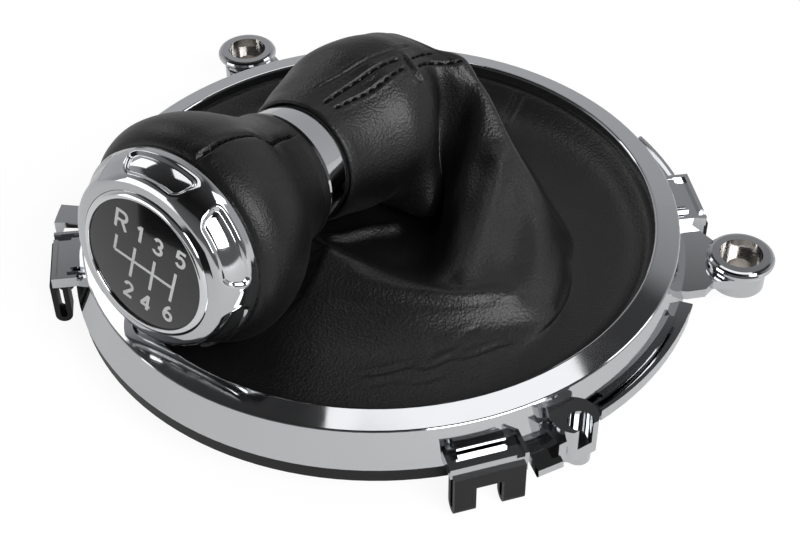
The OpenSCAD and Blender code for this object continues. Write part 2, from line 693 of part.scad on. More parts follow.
// Round wire return spring between the grip and the lift sleeve
module return_spring() {
    low = collar_h - 4.6 + 1.4;
    high = recess_h;
    turns = 4;
    n = 20;
    wire_n = 8;
    r = tube_r + slide_gap + spring_wire / 2 + 0.15;
    rise = high - low - spring_wire;
    m = turns * n;
    pts = [for (i = [0 : m], j = [0 : wire_n - 1])
        let (a = 360 * i / n, b = 360 * j / wire_n,
             z = low + spring_wire / 2 + rise * i / m,
             q = r + spring_wire / 2 * cos(b))
        [q * cos(a), q * sin(a), z + spring_wire / 2 * sin(b)]];
    sides = [for (i = [0 : m - 1], j = [0 : wire_n - 1]) let (k = (j + 1) % wire_n)
        each [[i * wire_n + j, i * wire_n + k, (i + 1) * wire_n + j],
              [i * wire_n + k, (i + 1) * wire_n + k, (i + 1) * wire_n + j]]];
    caps = [[for (j = [wire_n - 1 : -1 : 0]) j], [for (j = [0 : wire_n - 1]) m * wire_n + j]];
    color("#9a9a9e") on_knob() polyhedron(points = pts, faces = concat(sides, caps));
}

bezel_ring();
gaiter_frame();
clip_front();
clip_left();
clip_right();
clip_rear();
lug_bushes();
gaiter();
gaiter_sleeve();
neck_tie();
neck_ring();
circlip();
knob_core();
lever_liner();
grip_shell();
grip_leather();
knob_cap();
dial_ring();
dial_disc();
return_spring();
lift_sleeve();
lift_collar();
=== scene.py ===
# Gear shift knob with its leather gaiter in a chrome bezel: looks built round the CAD frame
import json
import math

import bpy
import numpy as np
from mathutils import Matrix, Vector


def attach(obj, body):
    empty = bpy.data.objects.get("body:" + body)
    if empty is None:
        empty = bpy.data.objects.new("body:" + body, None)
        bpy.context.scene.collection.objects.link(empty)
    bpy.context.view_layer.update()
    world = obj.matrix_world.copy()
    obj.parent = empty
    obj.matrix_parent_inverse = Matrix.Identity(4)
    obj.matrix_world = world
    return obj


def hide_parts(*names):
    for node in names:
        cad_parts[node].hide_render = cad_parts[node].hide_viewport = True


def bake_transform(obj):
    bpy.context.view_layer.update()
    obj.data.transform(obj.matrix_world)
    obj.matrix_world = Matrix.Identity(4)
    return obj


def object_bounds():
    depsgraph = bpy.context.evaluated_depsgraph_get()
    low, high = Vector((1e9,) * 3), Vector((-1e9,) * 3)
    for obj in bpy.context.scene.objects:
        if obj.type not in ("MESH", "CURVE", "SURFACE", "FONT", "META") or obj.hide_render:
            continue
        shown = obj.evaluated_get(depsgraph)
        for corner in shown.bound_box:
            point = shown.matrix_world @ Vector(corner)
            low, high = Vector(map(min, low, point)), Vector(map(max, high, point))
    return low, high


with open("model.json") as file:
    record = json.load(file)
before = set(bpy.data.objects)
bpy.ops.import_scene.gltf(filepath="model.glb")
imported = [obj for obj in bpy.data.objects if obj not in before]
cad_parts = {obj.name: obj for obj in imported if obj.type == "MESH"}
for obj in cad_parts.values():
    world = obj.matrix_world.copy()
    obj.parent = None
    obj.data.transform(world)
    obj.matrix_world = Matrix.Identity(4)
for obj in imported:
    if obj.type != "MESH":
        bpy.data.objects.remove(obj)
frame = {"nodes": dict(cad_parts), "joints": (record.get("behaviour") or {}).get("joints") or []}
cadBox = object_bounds()
nodes = frame["nodes"]
mm = 0.001

raiseJoint = next(j for j in frame["joints"] if j["name"] == "knob_raise")
upDir = np.array([0.0, 0.0, 1.0])
sideDir = -np.array(raiseJoint["axis"])  # to the right of the dial
backDir = np.cross(upDir, sideDir)  # from the dial towards the hump


def place(side, back, height):  # millimetres over the seat to metres
    return (sideDir * side + backDir * back + upDir * height) * mm


def leaning(lean):  # towards the dial along a tilted axis, and up from that axis
    towards = -math.cos(lean) * backDir + math.sin(lean) * upDir
    return towards, math.sin(lean) * backDir + math.cos(lean) * upDir


# where the collar's foot lies; how far the knob looks up and its padded head nods on the stem, in degrees
knobLay = {"foot": (-16.2, -12.5, 31.2), "rise": 8.3, "nod": 1.0}
knobFoot = place(*knobLay["foot"])
rise = math.radians(knobLay["rise"])
knobDir, knobUp = leaning(rise)
headDir, headUp = leaning(rise - math.radians(knobLay["nod"]))
print("frame loaded:", len(nodes), "CAD nodes")


def meshPiece(name, points, faces, material, smooth=True):
    mesh = bpy.data.meshes.new(name)
    mesh.from_pydata([tuple(p) for p in points], [], [tuple(f) for f in faces])
    mesh.validate()
    mesh.polygons.foreach_set("use_smooth", [smooth] * len(mesh.polygons))
    mesh.materials.append(material)
    piece = bpy.data.objects.new(name, mesh)
    bpy.context.scene.collection.objects.link(piece)
    return piece


def gridFaces(rows, around, start=0, flip=False):  # faces between rows that close round
    faces = []
    for i in range(rows - 1):
        low, high = start + i * around, start + (i + 1) * around
        for j in range(around):
            k = (j + 1) % around
            face = (low + j, low + k, high + k, high + j)
            faces.append(face[::-1] if flip else face)
    return faces


def ringAngles(count, start=0):  # degrees in, radians out
    return np.radians(np.arange(count) * 360 / count + start)


def curveBetween(a, b, c, d, t):  # from b to c on a smooth curve through all four
    return 0.5 * (2 * b + (c - a) * t + (2 * a - 5 * b + 4 * c - d) * t * t
                  + (3 * b - a - 3 * c + d) * t**3)


def smoothLine(points, steps, closed=False):  # curve through the points
    p = np.array(points, float)
    n = len(p)
    out = []
    for i in range(n if closed else n - 1):
        near = [k % n if closed else min(max(k, 0), n - 1) for k in range(i - 1, i + 3)]
        out += [curveBetween(*p[near], t) for t in np.arange(steps) / steps]
    if not closed:
        out.append(p[-1])
    return np.array(out)


def pathReach(points):  # distance along a path at each of its points
    return np.concatenate([[0], np.cumsum(np.linalg.norm(np.diff(points, axis=0), axis=1))])


def alongPath(places, reach, values):  # the values' columns at some distances along the path
    return np.column_stack([np.interp(places, reach, column) for column in values.T])


def unit(v):
    return v / np.maximum(np.linalg.norm(v, axis=-1, keepdims=True), 1e-12)


def newMaterial(name, colour, roughness, metallic=0.0):
    material = bpy.data.materials.new(name)
    material.use_nodes = True
    shader = material.node_tree.nodes["Principled BSDF"]
    shader.inputs["Base Color"].default_value = (*colour, 1)
    shader.inputs["Roughness"].default_value = roughness
    shader.inputs["Metallic"].default_value = metallic
    return material, material.node_tree, shader


def objectCoords(tree, stretch=1.0):
    coords = tree.nodes.new("ShaderNodeTexCoord")
    mapping = tree.nodes.new("ShaderNodeMapping")
    mapping.inputs["Scale"].default_value = (1, 1, stretch)
    tree.links.new(coords.outputs["Object"], mapping.inputs["Vector"])
    return mapping.outputs["Vector"]


def noiseNode(tree, vector, scale, detail, roughness=0.5, distortion=0.0):
    node = tree.nodes.new("ShaderNodeTexNoise")
    node.inputs["Scale"].default_value = scale
    node.inputs["Detail"].default_value = detail
    node.inputs["Roughness"].default_value = roughness
    node.inputs["Distortion"].default_value = distortion
    tree.links.new(vector, node.inputs["Vector"])
    return node


def mapRange(tree, source, low, high, fromLow=0.0, fromHigh=1.0):
    node = tree.nodes.new("ShaderNodeMapRange")
    node.inputs["From Min"].default_value = fromLow
    node.inputs["From Max"].default_value = fromHigh
    node.inputs["To Min"].default_value = low
    node.inputs["To Max"].default_value = high
    tree.links.new(source, node.inputs["Value"])
    return node.outputs["Result"]


def mathNode(tree, operation, *sources):  # each source is a number or another node's output
    node = tree.nodes.new("ShaderNodeMath")
    node.operation = operation
    for socket, source in zip(node.inputs, sources):
        if isinstance(source, float):
            socket.default_value = source
        else:
            tree.links.new(source, socket)
    return node.outputs[0]


def bumpNode(tree, height, strength, depth, after=None):
    node = tree.nodes.new("ShaderNodeBump")
    node.inputs["Strength"].default_value = strength
    node.inputs["Distance"].default_value = depth
    tree.links.new(height, node.inputs["Height"])
    if after is not None:
        tree.links.new(after, node.inputs["Normal"])
    return node.outputs["Normal"]


def colourBlend(tree, factor, first, second):
    node = tree.nodes.new("ShaderNodeMix")
    node.data_type = "RGBA"
    node.inputs[6].default_value = (*first, 1)
    node.inputs[7].default_value = (*second, 1)
    tree.links.new(factor, node.inputs[0])
    return node.outputs[2]


shared = {  # what the finishes of a kind have in common; depths in metres
    "noiseRange": (0.3, 0.7),  # most of a noise lies between these
    "rippleDepth": 0.0004, "creaseDepth": 0.0012, "grainDepth": 0.00035, "poreDepth": 0.0002,
    "gritDepth": 0.0002, "lineDepth": 0.0001, "lineStrength": 0.3,
    "pebbleSmoothness": 0.55, "warpScale": 0.6, "mottle": (0.25, 0.75), "sheenRoughness": 0.4,
    "patchScale": 60.0, "shade": (0.3, 0.7), "smoother": 0.05, "rougher": 0.07, "coatRoughness": 0.04,
}


def chromeFinish(name, look):
    material, tree, shader = newMaterial(name, look["colour"], look["roughness"], 1.0)
    vector = objectCoords(tree)
    haze = noiseNode(tree, vector, look["hazeScale"], 4.0)
    rough = mapRange(tree, haze.outputs["Fac"], *look["roughnessRange"], *shared["noiseRange"])
    tree.links.new(rough, shader.inputs["Roughness"])
    ripple = noiseNode(tree, vector, look["rippleScale"], 2.0)
    rippled = bumpNode(tree, ripple.outputs["Fac"], look["ripple"], shared["rippleDepth"])
    tree.links.new(rippled, shader.inputs["Normal"])
    return material


def leatherFinish(name, look):
    material, tree, shader = newMaterial(name, look["colour"], 0.5)
    vector = objectCoords(tree)
    pebble = tree.nodes.new("ShaderNodeTexVoronoi")
    pebble.feature = "SMOOTH_F1"
    pebble.inputs["Scale"].default_value = look["grainScale"]
    pebble.inputs["Smoothness"].default_value = shared["pebbleSmoothness"]
    warp = noiseNode(tree, vector, look["grainScale"] * shared["warpScale"], 2.0)
    drift = tree.nodes.new("ShaderNodeVectorMath")
    drift.operation = "MULTIPLY_ADD"
    drift.inputs[1].default_value = (look["warp"],) * 3
    tree.links.new(warp.outputs["Color"], drift.inputs[0])
    tree.links.new(vector, drift.inputs[2])
    tree.links.new(drift.outputs[0], pebble.inputs["Vector"])
    pores = noiseNode(tree, vector, look["poreScale"], 5.0, 0.6)
    creased = noiseNode(tree, vector, look["creaseScale"], 6.0, 0.65, 0.6)
    wavy = bumpNode(tree, creased.outputs["Fac"], look["crease"], shared["creaseDepth"])
    grained = bumpNode(tree, pebble.outputs["Distance"], look["grain"], shared["grainDepth"], wavy)
    fine = bumpNode(tree, pores.outputs["Fac"], look["pore"], shared["poreDepth"], grained)
    tree.links.new(fine, shader.inputs["Normal"])
    rubbed = noiseNode(tree, vector, look["patchScale"], 3.0)
    rough = mapRange(tree, rubbed.outputs["Fac"], *look["roughnessRange"], *shared["noiseRange"])
    tree.links.new(rough, shader.inputs["Roughness"])
    mottled = mapRange(tree, rubbed.outputs["Fac"], 0.0, 1.0, *shared["mottle"])
    blended = colourBlend(tree, mottled, look["colour"], look["paleColour"])
    tree.links.new(blended, shader.inputs["Base Color"])
    shader.inputs["Specular IOR Level"].default_value = look["specular"]
    shader.inputs["Sheen Weight"].default_value = look["sheen"]
    shader.inputs["Sheen Roughness"].default_value = shared["sheenRoughness"]
    return material


def plasticFinish(name, look):
    material, tree, shader = newMaterial(name, look["colour"], look["roughness"])
    vector = objectCoords(tree)
    grit = noiseNode(tree, vector, look["gritScale"], 3.0)
    gritty = bumpNode(tree, grit.outputs["Fac"], look["grit"], shared["gritDepth"])
    tree.links.new(gritty, shader.inputs["Normal"])
    patches = noiseNode(tree, vector, shared["patchScale"], 3.0)
    shade = mapRange(tree, patches.outputs["Fac"], 0.0, 1.0, *shared["shade"])
    blended = colourBlend(tree, shade, look["colour"], look["paleColour"])
    tree.links.new(blended, shader.inputs["Base Color"])
    low, high = look["roughness"] - shared["smoother"], look["roughness"] + shared["rougher"]
    tree.links.new(mapRange(tree, patches.outputs["Fac"], low, high), shader.inputs["Roughness"])
    shader.inputs["Specular IOR Level"].default_value = look.get("specular", 0.5)
    shader.inputs["Coat Weight"].default_value = look.get("coat", 0.0)
    shader.inputs["Coat Roughness"].default_value = shared["coatRoughness"]
    return material


def brushedFinish(name, look):
    material, tree, shader = newMaterial(name, look["colour"], look["roughness"], 1.0)
    lines = noiseNode(tree, objectCoords(tree, look["stretch"]), look["lineScale"], 4.0)
    lined = bumpNode(tree, lines.outputs["Fac"], shared["lineStrength"], shared["lineDepth"])
    tree.links.new(lined, shader.inputs["Normal"])
    rough = mapRange(tree, lines.outputs["Fac"], *look["roughnessRange"], *shared["noiseRange"])
    tree.links.new(rough, shader.inputs["Roughness"])
    return material


finishes = {
    "chrome": {"colour": (0.61, 0.62, 0.635), "roughness": 0.07, "roughnessRange": (0.045, 0.10),
               "hazeScale": 90.0, "rippleScale": 30.0, "ripple": 0.015},
    # a lighter copy of the chrome for the trim ring: painted brightness that stands in for the ring's
    # brighter reflections
    "chromePaintedBright": {"colour": (0.80, 0.81, 0.82), "roughness": 0.07, "roughnessRange": (0.05, 0.10),
                     "hazeScale": 90.0, "rippleScale": 30.0, "ripple": 0.01},
    "leather": {"colour": (0.0030, 0.0030, 0.0033), "paleColour": (0.0055, 0.0055, 0.006),
                "grainScale": 1500.0, "warp": 0.0005, "poreScale": 3600.0, "creaseScale": 170.0,
                "crease": 0.11, "grain": 0.26, "pore": 0.18, "patchScale": 55.0,
                "roughnessRange": (0.38, 0.48), "specular": 0.60, "sheen": 0.01},
    "gripLeather": {"colour": (0.0030, 0.0030, 0.0033), "paleColour": (0.0055, 0.0055, 0.006),
                    "grainScale": 1900.0, "warp": 0.0004, "poreScale": 4200.0, "creaseScale": 90.0,
                    "crease": 0.05, "grain": 0.20, "pore": 0.14, "patchScale": 45.0,
                    "roughnessRange": (0.36, 0.45), "specular": 0.48, "sheen": 0.01},
    "suede": {"colour": (0.060, 0.055, 0.050), "paleColour": (0.095, 0.088, 0.080),
              "grainScale": 1800.0, "warp": 0.0006, "poreScale": 4200.0, "creaseScale": 160.0,
              "crease": 0.3, "grain": 0.6, "pore": 0.8, "patchScale": 70.0,
              "roughnessRange": (0.85, 0.95), "specular": 0.2, "sheen": 0.25},
    "blackPlastic": {"colour": (0.007, 0.007, 0.008), "paleColour": (0.011, 0.011, 0.012),
                     "roughness": 0.40, "gritScale": 2600.0, "grit": 0.25, "specular": 0.3},
    "greyPlastic": {"colour": (0.045, 0.045, 0.047), "paleColour": (0.06, 0.06, 0.062),
                    "roughness": 0.5, "gritScale": 2200.0, "grit": 0.3},
    "naturalPlastic": {"colour": (0.50, 0.47, 0.40), "paleColour": (0.57, 0.54, 0.47),
                       "roughness": 0.45, "gritScale": 1800.0, "grit": 0.2},
    "dialGloss": {"colour": (0.006, 0.006, 0.007), "paleColour": (0.008, 0.008, 0.009),
                  "roughness": 0.10, "gritScale": 500.0, "grit": 0.01, "coat": 0.5},
    "dialPrint": {"colour": (0.82, 0.82, 0.83), "paleColour": (0.88, 0.88, 0.89),
                  "roughness": 0.42, "gritScale": 3000.0, "grit": 0.15},
    "thread": {"colour": (0.003, 0.003, 0.003), "paleColour": (0.006, 0.006, 0.006),
               "roughness": 0.8, "gritScale": 5200.0, "grit": 0.7, "specular": 0.1},
    "bushMetal": {"colour": (0.46, 0.42, 0.38), "roughness": 0.28, "roughnessRange": (0.2, 0.36),
                  "stretch": 12.0, "lineScale": 900.0},
    "springSteel": {"colour": (0.55, 0.55, 0.56), "roughness": 0.25, "roughnessRange": (0.18, 0.33),
                    "stretch": 1.0, "lineScale": 2400.0},
}
chrome = chromeFinish("platedChrome", finishes["chrome"])
chromePaintedBright = chromeFinish("chromePaintedBright", finishes["chromePaintedBright"])
leather = leatherFinish("blackLeather", finishes["leather"])
gripHide = leatherFinish("gripLeather", finishes["gripLeather"])
suede = leatherFinish("leatherInside", finishes["suede"])
blackPlastic = plasticFinish("blackPlastic", finishes["blackPlastic"])
greyPlastic = plasticFinish("greyPlastic", finishes["greyPlastic"])
naturalPlastic = plasticFinish("naturalPlastic", finishes["naturalPlastic"])
dialGloss = plasticFinish("dialGloss", finishes["dialGloss"])
dialPrint = plasticFinish("dialPrint", finishes["dialPrint"])
thread = plasticFinish("blackThread", finishes["thread"])
bushMetal = brushedFinish("bushMetal", finishes["bushMetal"])
springSteel = brushedFinish("springSteel", finishes["springSteel"])

nodeFinish = {
    "bezel_ring": chrome, "knob_cap": chrome, "dial_ring": chrome, "lift_collar": chrome,
    "gaiter_frame": blackPlastic, "clip_front": blackPlastic, "clip_left": blackPlastic,
    "clip_right": blackPlastic, "clip_rear": blackPlastic, "lug_bushes": bushMetal,
    "neck_tie": thread, "neck_ring": greyPlastic, "circlip": springSteel, "knob_core": greyPlastic,
    "lever_liner": naturalPlastic, "grip_shell": greyPlastic, "dial_disc": dialGloss,
    "return_spring": springSteel, "lift_sleeve": blackPlastic,
    "gaiter": leather, "gaiter_sleeve": leather, "grip_leather": gripHide,
}
for name, material in nodeFinish.items():
    nodes[name].data.materials.clear()
    nodes[name].data.materials.append(material)
print("materials made:", len(bpy.data.materials))

hide = {
    "around": 384,  # points round each ring, a multiple of 8
    "steps": 20,  # rows between two rings
    "thickness": 1.2,
    "liningEvery": 4,  # the lining takes every fourth point
    "hemRadius": 74.0, "throatRadius": 69.0, "insideRadius": 67.8, "hemHeight": 12.0,
    "humpTop": 57.5, "humpHeight": 35.5, "sleeveRadius": 21.0, "crestHeight": 20.0,
    "neckRadius": 16.4, "neckPitch": 81.7,
    "sewnRing": 10,  # the gaiter ends and the sleeve starts
    "restGap": 2.1,  # how far the leather lies under the knob
    "restTop": 3,  # leather higher than this over the knob's axis isn't pressed under it
    "calming": 160, "calmRings": (2.6, 4.9), "calmEdge": 0.5, "calmShare": 0.25,
    "pathSteps": 12, "pathPoints": 160, "stitchPoints": 400,
    "seamFade": 2.0, "puffAway": 2.2, "puffWide": 1.4,  # the last two are times the seam's width
}

seams = {  # paths are ring numbers with degrees from the front towards the right; widths and depths in mm
    "upper": {"path": [(14.6, 168), (13.9, 165.8), (13.1, 163.8), (12.4, 162.3), (11.3, 160), (10.7, 158.8),
                       (10.1, 157)], "width": 0.45, "depth": 0.85, "puff": 0.12},
    "lower": {"path": [(14.4, 158.5), (13.6, 155.2), (12.9, 152.8), (12.2, 150.4), (11.4, 149.2),
                       (10.7, 149.8), (10.2, 150.5)], "width": 0.4, "depth": 0.4, "puff": 0.1},
    "panel": {"path": [(13.6, 181), (12.9, 177.5), (12.2, 173.8), (11.4, 170), (10.6, 167), (9.6, 164.5),
                       (8.9, 163.8)], "width": 0.45, "depth": 0.45, "puff": 0.1},
    "cross": {"path": [(10.05, 161), (10.05, 156), (10.1, 150), (10.15, 143), (10.1, 134)],
              "width": 0.6, "depth": 0.8, "puff": 0.3},
    "humpUpper": {"path": [(9.85, 153.8), (9.5, 153), (9.1, 152.5), (8.7, 154), (8.35, 156.2), (7.9, 158)],
                  "width": 0.4, "depth": 0.4, "puff": 0.1},
    "humpLower": {"path": [(9.9, 147.5), (9.5, 145.6), (8.95, 143.8), (8.4, 145), (7.8, 147.5), (7.2, 150)],
                  "width": 0.4, "depth": 0.4, "puff": 0.1},
    "rimStub": {"path": [(1.9, 178.8), (2.7, 178.8), (3.75, 178.8), (4.4, 178.5)],
                "width": 0.7, "depth": 0.5, "puff": 0.3},
}
creases = [  # fine wrinkles in the front of the gaiter, and a wide one at its right
    {"path": [(4.45, 22.5), (4.5, 26.2), (4.62, 28.8), (4.55, 32.5), (4.7, 34.5), (4.68, 38), (4.8, 42.5),
              (4.74, 48.8)], "width": 0.5, "depth": 0.4, "puff": 0.15},
    {"path": [(4.55, 32.0), (4.7, 31.0), (4.82, 30.0), (5.1, 27.5), (5.3, 26.5)],
     "width": 0.5, "depth": 0.3, "puff": 0.1},
    {"path": [(4.8, 30), (4.95, 31.2), (5.2, 32.5), (5.4, 35)], "width": 0.5, "depth": 0.3, "puff": 0.1},
    {"path": [(4.2, 27), (4.3, 31), (4.25, 35.5), (4.35, 40)], "width": 0.6, "depth": 0.15, "puff": 0.08},
    {"path": [(5.2, 86), (5.15, 76), (5.2, 64), (5.05, 56)], "width": 1.6, "depth": 0.35, "puff": 0.2},
]
# broad rises and hollows: the pocket's fold, the hump's two shoulders, the ridge and the hollow of the right
# flank, and the front crest
swells = [
    {"path": [(7.9, 2), (8.1, 7.5), (8.35, 13), (8.5, 19), (8.65, 25)], "width": 1.5, "height": 2.0},
    {"path": [(6.9, 240), (7.35, 222), (7.5, 205), (8.3, 196)], "width": 4.5, "height": -2.3},
    {"path": [(7.0, 140), (7.3, 154), (7.45, 166)], "width": 4.0, "height": 1.8},
    {"path": [(6.7, 113), (6.65, 89), (6.75, 70), (6.8, 59), (6.7, 46)], "width": 3.2, "height": 1.5},
    {"path": [(6.1, 89), (6.2, 80), (6.25, 64), (6.3, 56)], "width": 4.0, "height": -1.3},
    {"path": [(7.0, 5), (6.95, 15), (7.1, 25), (6.95, 38), (6.5, 41), (6.25, 48.8), (5.8, 54.4)],
     "width": 2.0, "height": 0.9},
]


def roundRing(radius, height):
    angles = ringAngles(hide["around"], -90)
    return np.array([place(radius * math.cos(t), radius * math.sin(t), height) for t in angles])


def ovalRing(offset, back, height, pitch, halfWidth, halfHeight):
    p = math.radians(pitch)
    return np.array([place(offset + halfWidth * math.cos(t), back + halfHeight * math.sin(t) * math.cos(p),
                           height + halfHeight * math.sin(t) * math.sin(p))
                     for t in ringAngles(hide["around"], -90)])


def neckRing(behind, lift, radius):  # square to the knob's axis, behind the collar's foot
    side, back, height = knobLay["foot"]
    return ovalRing(side, back + behind * math.cos(rise), height - behind * math.sin(rise) + lift,
                    hide["neckPitch"], radius, radius)


def foldedRing(offset, *half):  # [half width, back, height] at five places from front to back
    loop = [half[8 - i if i > 4 else i] for i in range(8)]
    loop = [place(offset + (-p[0] if i > 4 else p[0]), p[1], p[2]) for i, p in enumerate(loop)]
    return smoothLine(loop, hide["around"] // 8, closed=True)


def hideRings():  # from the clamped hem over the folds and along the sleeve to the turned-in neck
    h, top, crest = hide, hide["humpTop"], hide["crestHeight"]
    inside, hem, neck = h["insideRadius"], h["hemHeight"], h["neckRadius"]
    return np.array([
        roundRing(h["hemRadius"], hem),
        roundRing(h["throatRadius"] + 1.8, hem),
        roundRing(h["throatRadius"], hem - 0.3),
        roundRing(inside - 1.2, hem - 2.4),
        foldedRing(0, [0, 5 - inside, hem - 2.8], [44.4, -44.4, hem - 2.8], [62.8, 0, hem - 4],
                   [44.4, 44.4, hem - 5.5], [0, inside - 5, hem - 5.5]),
        foldedRing(0, [0, -52, 10.4], [52, -13, 10], [46.5, 19, 7], [31, 34.5, 7], [0, 53, 7]),
        foldedRing(-5, [0, -38, crest - 5.2], [48, -14, 15], [41, 17.5, 19.5], [26.5, 29, 27], [0, 41, 30]),
        foldedRing(-9.5, [0, -25, crest + 0.9], [38, -18, 16.5], [28.5, 14.5, 27], [22, 29.5, 40],
                   [0, 31, top - 12]),
        foldedRing(-11, [0, -12, 9.5], [28.5, -6, 9.5], [20.2, 20.5, 27], [17, 27, 42.5],
                   [0, 27.5, top - 9]),
        foldedRing(-12, [0, 14, 7.8], [23, 11, 9.5], [15.8, 20.5, 28], [13.2, 23.5, 44.5],
                   [0, 22.5, top - 6.5]),
        foldedRing(-12.5, [0, 10, 10], [21.5, 6, 13], [21.0, 14, 29], [15.2, 16.5, 46], [0, 17, top - 4.5]),
        ovalRing(-14, 7, h["humpHeight"] - 4, 82, h["sleeveRadius"] + 0.6, h["sleeveRadius"] + 0.6),
        ovalRing(-15.4, 1, h["humpHeight"] - 5, 82, h["sleeveRadius"] - 0.8, h["sleeveRadius"] - 0.8),
        neckRing(8, 0.5, neck + 2.2),
        neckRing(4.5, 0.1, neck + 1.2),
        neckRing(2.2, 0, neck + 0.7),
        neckRing(0.6, 0, neck + 0.1),
        neckRing(0.5, 0, neck - 0.7),
        neckRing(2.4, 0, neck - 1.1),
    ])


knobGirth = np.array([(-3, 0), (-1, 16.5), (6.5, 19.5), (13.5, 20.5), (21.5, 25.4), (31.5, 27.4),
                      (44.4, 25.9), (51, 24.1), (59, 18.5), (61, 0)])  # distance from the foot, radius


def pressedUnderKnob(points):  # leather under the knob lies clear of it
    q = (points - knobFoot) / mm
    along, up, side = q @ knobDir, q @ knobUp, q @ sideDir
    girth = np.interp(along, knobGirth[:, 0], knobGirth[:, 1], left=0, right=0)
    reach = girth + hide["restGap"]
    under = (girth > 0) & (np.abs(side) < reach)
    deep = np.where(under, -np.sqrt(np.maximum(reach**2 - side**2, 0)), np.inf)
    push = np.where((up < hide["restTop"]) & (up > deep), deep - up, 0)
    return points + push[..., None] * knobUp * mm


def hideSurface():  # the grid of points, and the ring number of each of its rows
    rings = hideRings()
    last = len(rings) - 1
    rows, rowAt = [], []
    for i in range(last):
        near = [min(max(k, 0), last) for k in range(i - 1, i + 3)]
        for t in np.arange(hide["steps"]) / hide["steps"]:
            row = curveBetween(*rings[near], t)
            rows.append(pressedUnderKnob(row) if i < hide["sewnRing"] else row)
            rowAt.append(i + t)
    return np.array([*rows, rings[last]]), np.array([*rowAt, last])


def calmValley(grid, rowAt):  # the leather behind the clamped hem hangs in one smooth hollow
    (first, last), edge = hide["calmRings"], hide["calmEdge"]
    across = np.clip((rowAt - first) / edge, 0, 1) * np.clip((last - rowAt) / edge, 0, 1)
    for _ in range(hide["calming"]):
        bend = grid[:-2] - 2 * grid[1:-1] + grid[2:]
        grid[1:-1] += hide["calmShare"] * across[1:-1, None, None] * bend
    return grid


def surfaceNormals(grid):
    du = np.gradient(grid, axis=0)
    dv = np.roll(grid, -1, axis=1) - np.roll(grid, 1, axis=1)
    return unit(np.cross(dv, du))


def hidePlace(path, count):  # points evenly spread on the grid along a path, their normals, and its length
    rows, turns = smoothLine(path, hide["pathSteps"]).T
    rows, turns = np.clip(rows, 0, hideRowAt[-1]) * hide["steps"], turns / 360 * hide["around"]
    low, left = np.minimum(rows.astype(int), len(hideGrid) - 2), np.floor(turns).astype(int)
    f, g = (rows - low)[:, None], (turns - left)[:, None]
    a, b = left % hide["around"], (left + 1) % hide["around"]
    points = (hideGrid[low, a] * (1 - g) + hideGrid[low, b] * g) * (1 - f)
    points += (hideGrid[low + 1, a] * (1 - g) + hideGrid[low + 1, b] * g) * f
    reach = pathReach(points)
    even = np.linspace(0, reach[-1], count)
    nearRow = np.clip(np.round(rows).astype(int), 0, len(hideGrid) - 1)
    normals = hideNormals[nearRow, np.round(turns).astype(int) % hide["around"]]
    return alongPath(even, reach, points), unit(alongPath(even, reach, normals)), reach[-1]


def pressLine(path, shape, fade):  # moves the grid near a path along its normals, less at the path's ends
    last = hide["pathPoints"] - 1
    line, _, length = hidePlace(path, hide["pathPoints"])
    flat = hideGrid.reshape(-1, 3)
    margin = max(2 * fade, 4) * mm
    low, high = line.min(axis=0) - margin, line.max(axis=0) + margin
    near = np.flatnonzero(((flat > low) & (flat < high)).all(axis=1))
    gap = np.linalg.norm(flat[near, None] - line[None], axis=2)
    nearest = gap.argmin(axis=1)
    gap = gap.min(axis=1) / mm
    ends = np.clip(np.minimum(nearest, last - nearest) / last * length / mm / fade, 0, 1)
    ends = ends * ends * (3 - 2 * ends)
    flat[near] += (shape(gap) * ends)[:, None] * mm * hideNormals.reshape(-1, 3)[near]


def swell(bulge):
    return lambda gap: bulge["height"] * np.exp(-((gap / bulge["width"]) ** 2))


def groove(seam):  # a sunk line with a puffed edge on both sides
    away, wide = hide["puffAway"] * seam["width"], hide["puffWide"] * seam["width"]
    return lambda gap: (seam["puff"] * np.exp(-(((gap - away) / wide) ** 2))
                        - seam["depth"] * np.exp(-((gap / seam["width"]) ** 2)))


hideGrid, hideRowAt = hideSurface()
hideGrid = calmValley(hideGrid, hideRowAt)
hideNormals = surfaceNormals(hideGrid)
for bulge in swells:
    pressLine(bulge["path"], swell(bulge), 2 * bulge["width"])
hideNormals = surfaceNormals(hideGrid)
for seam in [*seams.values(), *creases]:
    pressLine(seam["path"], groove(seam), hide["seamFade"])
hideNormals = surfaceNormals(hideGrid)
sewnRow = hide["sewnRing"] * hide["steps"]
print("leather surface:", hideGrid.shape)


def hidePiece(name, first, last, material):
    rows = hideGrid[first:last + 1]
    return meshPiece(name, rows.reshape(-1, 3), gridFaces(len(rows), hide["around"]), material)


def liningPiece(name, first, last, material):
    every = hide["liningEvery"]
    inner = hideGrid - hideNormals * hide["thickness"] * mm
    picked = sorted(set(range(first, last + 1, every)) | {last})
    rows = inner[picked][:, ::every]
    return meshPiece(name, rows.reshape(-1, 3), gridFaces(len(rows), rows.shape[1], flip=True), material)


gaiterSkin = hidePiece("gaiterLeather", 0, sewnRow, leather)
gaiterLining = liningPiece("gaiterLining", 0, sewnRow, suede)
sleeveSkin = hidePiece("sleeveLeather", sewnRow, len(hideGrid) - 1, leather)
sleeveLining = liningPiece("sleeveLining", sewnRow, len(hideGrid) - 1, suede)

stitches = {  # seam, pitch, length and radius in mm
    "sleeveStitches": [("upper", 2.9, 2.4, 0.48), ("lower", 2.6, 1.7, 0.42)],
    "humpStitches": [("humpUpper", 2.5, 1.7, 0.38), ("humpLower", 2.5, 1.7, 0.38)],
}
threadShape = {"sides": 8, "rings": (-80, -50, -20, 20, 50, 80), "proud": 0.12}


